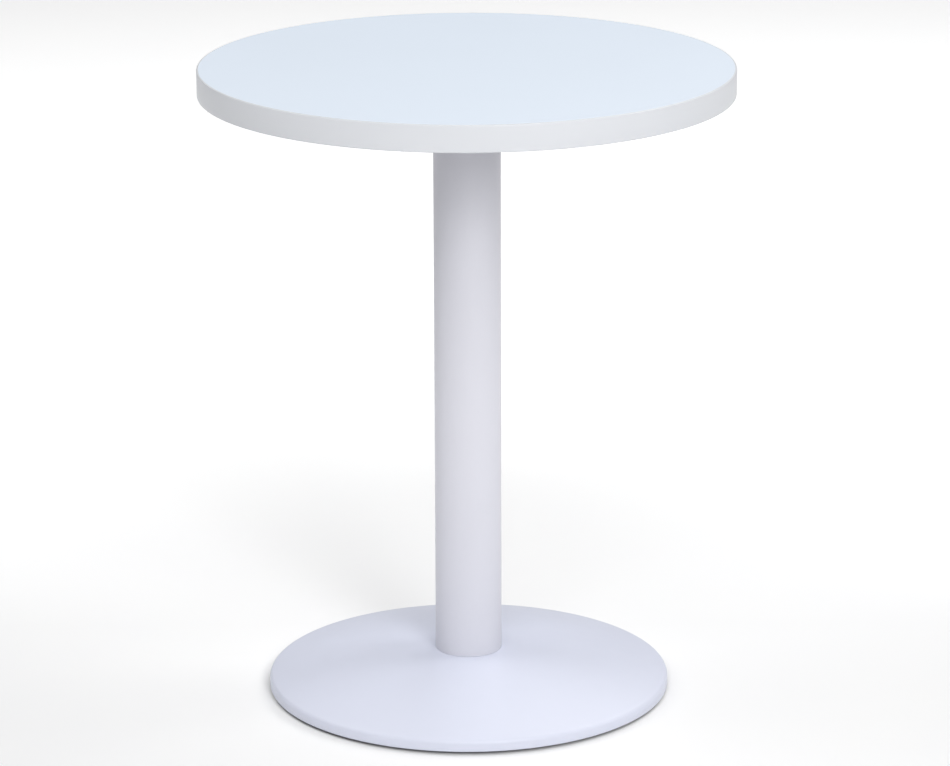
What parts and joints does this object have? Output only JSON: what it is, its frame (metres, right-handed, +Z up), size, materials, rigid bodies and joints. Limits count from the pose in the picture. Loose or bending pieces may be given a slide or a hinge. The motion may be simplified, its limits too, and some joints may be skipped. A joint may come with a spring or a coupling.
{
  "type": "bistro table",
  "caption": "Round pedestal table: a laminated top with a plastic edge band on a steel column, over a domed disc base with an iron weight and screw-in levelling glides.",
  "frame": {"origin": "on the floor, on the table's axis", "axes": "+Z up the column; -Y towards the viewer; the edge band's seam is at +Y"},
  "size_m": [0.6, 0.6, 0.73],
  "materials": {
    "white_laminate": "cool white high-pressure laminate, fine satin texture",
    "backing_sheet": "plain grey backing laminate",
    "edge_plastic": "white ABS edging strip, satin",
    "particleboard": "raw particleboard",
    "white_powder_coat": "white powder coat, satin with a fine orange peel",
    "raw_cast_iron": "sand-cast, primed",
    "zinc_steel": "bright zinc plate",
    "black_nylon": "moulded nylon"
  },
  "bodies": {
    "table": {"top_laminate": "white_laminate", "tabletop_core": "particleboard", "backing_laminate": "backing_sheet", "edge_band": "edge_plastic", "top_spider": "white_powder_coat", "spider_screws": "zinc_steel", "column_tube": "white_powder_coat", "tie_rod": "zinc_steel", "top_rod_nut": "zinc_steel", "top_rod_washer": "zinc_steel", "bottom_rod_nut": "zinc_steel", "bottom_plate_washer": "zinc_steel", "bottom_spring_washer": "zinc_steel", "column_locator": "zinc_steel", "base_cover": "white_powder_coat", "ballast_plate": "raw_cast_iron"},
    "glide_pad_1": {"glide_pad_1": "black_nylon"},
    "glide_stud_1": {"glide_stud_1": "zinc_steel"},
    "glide_pad_2": {"glide_pad_2": "black_nylon"},
    "glide_stud_2": {"glide_stud_2": "zinc_steel"},
    "glide_pad_3": {"glide_pad_3": "black_nylon"},
    "glide_stud_3": {"glide_stud_3": "zinc_steel"},
    "glide_pad_4": {"glide_pad_4": "black_nylon"},
    "glide_stud_4": {"glide_stud_4": "zinc_steel"},
    "glide_pad_5": {"glide_pad_5": "black_nylon"},
    "glide_stud_5": {"glide_stud_5": "zinc_steel"}
  },
  "joints": [
    {"name": "glide_1_travel", "type": "slide", "parent": "table", "child": "glide_pad_1", "axis": [0, 0, 1], "range_m": [-0.005, 0]},
    {"name": "glide_1_turn", "type": "hinge", "parent": "glide_pad_1", "child": "glide_stud_1", "pos_m": [0, -0.2, 0.0095], "axis": [0, 0, 1], "range_deg": [-1440, 0]},
    {"name": "glide_2_travel", "type": "slide", "parent": "table", "child": "glide_pad_2", "axis": [0, 0, 1], "range_m": [-0.005, 0]},
    {"name": "glide_2_turn", "type": "hinge", "parent": "glide_pad_2", "child": "glide_stud_2", "pos_m": [0.19021, -0.0618, 0.0095], "axis": [0, 0, 1], "range_deg": [-1440, 0]},
    {"name": "glide_3_travel", "type": "slide", "parent": "table", "child": "glide_pad_3", "axis": [0, 0, 1], "range_m": [-0.005, 0]},
    {"name": "glide_3_turn", "type": "hinge", "parent": "glide_pad_3", "child": "glide_stud_3", "pos_m": [0.11756, 0.1618, 0.0095], "axis": [0, 0, 1], "range_deg": [-1440, 0]},
    {"name": "glide_4_travel", "type": "slide", "parent": "table", "child": "glide_pad_4", "axis": [0, 0, 1], "range_m": [-0.005, 0]},
    {"name": "glide_4_turn", "type": "hinge", "parent": "glide_pad_4", "child": "glide_stud_4", "pos_m": [-0.11756, 0.1618, 0.0095], "axis": [0, 0, 1], "range_deg": [-1440, 0]},
    {"name": "glide_5_travel", "type": "slide", "parent": "table", "child": "glide_pad_5", "axis": [0, 0, 1], "range_m": [-0.005, 0]},
    {"name": "glide_5_turn", "type": "hinge", "parent": "glide_pad_5", "child": "glide_stud_5", "pos_m": [-0.19021, -0.0618, 0.0095], "axis": [0, 0, 1], "range_deg": [-1440, 0]}
  ],
  "couplings": [
    {"joint": "glide_1_turn", "follows": "glide_1_travel", "rad_per_m": 5026.5},
    {"joint": "glide_2_turn", "follows": "glide_2_travel", "rad_per_m": 5026.5},
    {"joint": "glide_3_turn", "follows": "glide_3_travel", "rad_per_m": 5026.5},
    {"joint": "glide_4_turn", "follows": "glide_4_travel", "rad_per_m": 5026.5},
    {"joint": "glide_5_turn", "follows": "glide_5_travel", "rad_per_m": 5026.5}
  ]
}
